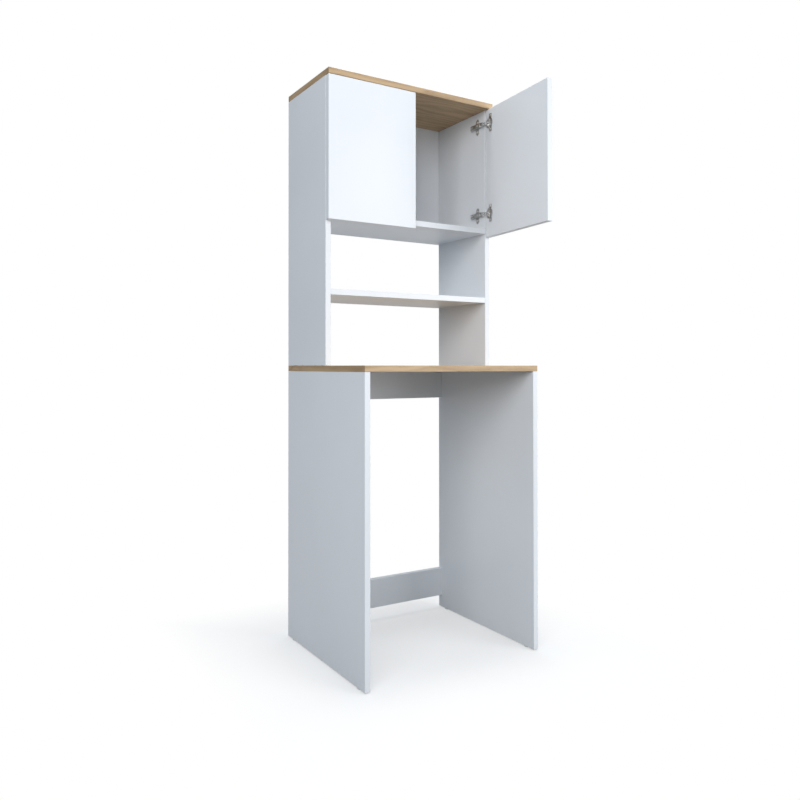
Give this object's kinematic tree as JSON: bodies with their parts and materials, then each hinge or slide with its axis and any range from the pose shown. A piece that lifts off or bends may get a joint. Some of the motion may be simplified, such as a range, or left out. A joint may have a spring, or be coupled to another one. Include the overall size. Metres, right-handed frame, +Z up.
{
  "type": "washing machine cabinet",
  "caption": "Tall cabinet that stands over a washing machine: open base, wood-look worktop, open shelves, and a cupboard with white doors on concealed hinges.",
  "frame": {"origin": "on the floor at mid-width, midway between the back panel and the free edge of the open right door", "axes": "+X to the cabinet's right as seen from the front, +Y towards the wall behind it, +Z up"},
  "size_m": [0.6427, 0.5909, 1.8],
  "materials": {
    "white_board": "white melamine-faced chipboard with white edge banding",
    "oak_board": "oak decor melamine on chipboard, with matching edge banding",
    "back_board": "thin fibreboard, white inside",
    "plated_steel": "nickel-plated pressed steel",
    "link_steel": "bright nickel-plated steel",
    "cam_zinc": "die-cast zinc",
    "glide_plastic": "white moulded plastic"
  },
  "bodies": {
    "root": {"base_side_left": "white_board", "base_side_right": "white_board", "hutch_side_left": "white_board", "hutch_side_right": "white_board", "upper_rail": "white_board", "lower_rail": "white_board", "middle_shelf": "white_board", "cupboard_floor": "white_board", "worktop": "oak_board", "top_panel": "oak_board", "cupboard_back": "back_board", "floor_glide_left_front": "glide_plastic", "floor_glide_left_rear": "glide_plastic", "upper_rail_left_cam": "cam_zinc", "upper_rail_left_cam_bolt": "plated_steel", "lower_rail_left_cam": "cam_zinc", "lower_rail_left_cam_bolt": "plated_steel", "middle_shelf_left_cam": "cam_zinc", "middle_shelf_left_cam_bolt": "plated_steel", "cupboard_floor_left_cam": "cam_zinc", "cupboard_floor_left_cam_bolt": "plated_steel", "left_upper_hinge_plate": "plated_steel", "left_upper_hinge_arm": "plated_steel", "left_upper_fixing_screw": "plated_steel", "left_lower_hinge_plate": "plated_steel", "left_lower_hinge_arm": "plated_steel", "left_lower_fixing_screw": "plated_steel", "floor_glide_right_front": "glide_plastic", "floor_glide_right_rear": "glide_plastic", "upper_rail_right_cam": "cam_zinc", "upper_rail_right_cam_bolt": "plated_steel", "lower_rail_right_cam": "cam_zinc", "lower_rail_right_cam_bolt": "plated_steel", "middle_shelf_right_cam": "cam_zinc", "middle_shelf_right_cam_bolt": "plated_steel", "cupboard_floor_right_cam": "cam_zinc", "cupboard_floor_right_cam_bolt": "plated_steel", "right_upper_hinge_plate": "plated_steel", "right_upper_hinge_arm": "plated_steel", "right_upper_fixing_screw": "plated_steel", "right_lower_hinge_plate": "plated_steel", "right_lower_hinge_arm": "plated_steel", "right_lower_fixing_screw": "plated_steel"},
    "left_outer_links": {"left_upper_outer_link": "link_steel", "left_lower_outer_link": "link_steel"},
    "left_door_leaf": {"left_door": "white_board", "left_upper_hinge_cup": "plated_steel", "left_lower_hinge_cup": "plated_steel"},
    "left_inner_links": {"left_upper_inner_link": "link_steel", "left_lower_inner_link": "link_steel"},
    "right_outer_links": {"right_upper_outer_link": "link_steel", "right_lower_outer_link": "link_steel"},
    "right_door_leaf": {"right_door": "white_board", "right_upper_hinge_cup": "plated_steel", "right_lower_hinge_cup": "plated_steel"},
    "right_inner_links": {"right_upper_inner_link": "link_steel", "right_lower_inner_link": "link_steel"}
  },
  "joints": [
    {"name": "left_door_hinge", "type": "hinge", "parent": "left_outer_links", "child": "left_door_leaf", "pos_m": [-0.3125, 0.0205, 1.577], "axis": [0, 0, -1], "range_deg": [0, 125]},
    {"name": "left_outer_link_hinge", "type": "hinge", "parent": "root", "child": "left_outer_links", "pos_m": [-0.2929, 0.0336, 1.577], "axis": [0, 0, -1], "range_deg": [-25, 0]},
    {"name": "left_inner_link_hinge", "type": "hinge", "parent": "root", "child": "left_inner_links", "pos_m": [-0.2962, 0.0265, 1.577], "axis": [0, 0, -1], "range_deg": [-8, 0]},
    {"name": "right_door_hinge", "type": "hinge", "parent": "right_outer_links", "child": "right_door_leaf", "pos_m": [0.30642, 0.01429, 1.577], "axis": [0, 0, 1], "range_deg": [-106.25, 18.75]},
    {"name": "right_outer_link_hinge", "type": "hinge", "parent": "root", "child": "right_outer_links", "pos_m": [0.2929, 0.0336, 1.577], "axis": [0, 0, 1], "range_deg": [-3.75, 21.25]},
    {"name": "right_inner_link_hinge", "type": "hinge", "parent": "root", "child": "right_inner_links", "pos_m": [0.2962, 0.0265, 1.577], "axis": [0, 0, 1], "range_deg": [-1.2, 6.8]}
  ],
  "couplings": [
    {"joint": "left_outer_link_hinge", "follows": "left_door_hinge", "ratio": -0.2},
    {"joint": "left_inner_link_hinge", "follows": "left_door_hinge", "ratio": -0.064},
    {"joint": "right_outer_link_hinge", "follows": "right_door_hinge", "ratio": -0.2},
    {"joint": "right_inner_link_hinge", "follows": "right_door_hinge", "ratio": -0.064}
  ]
}
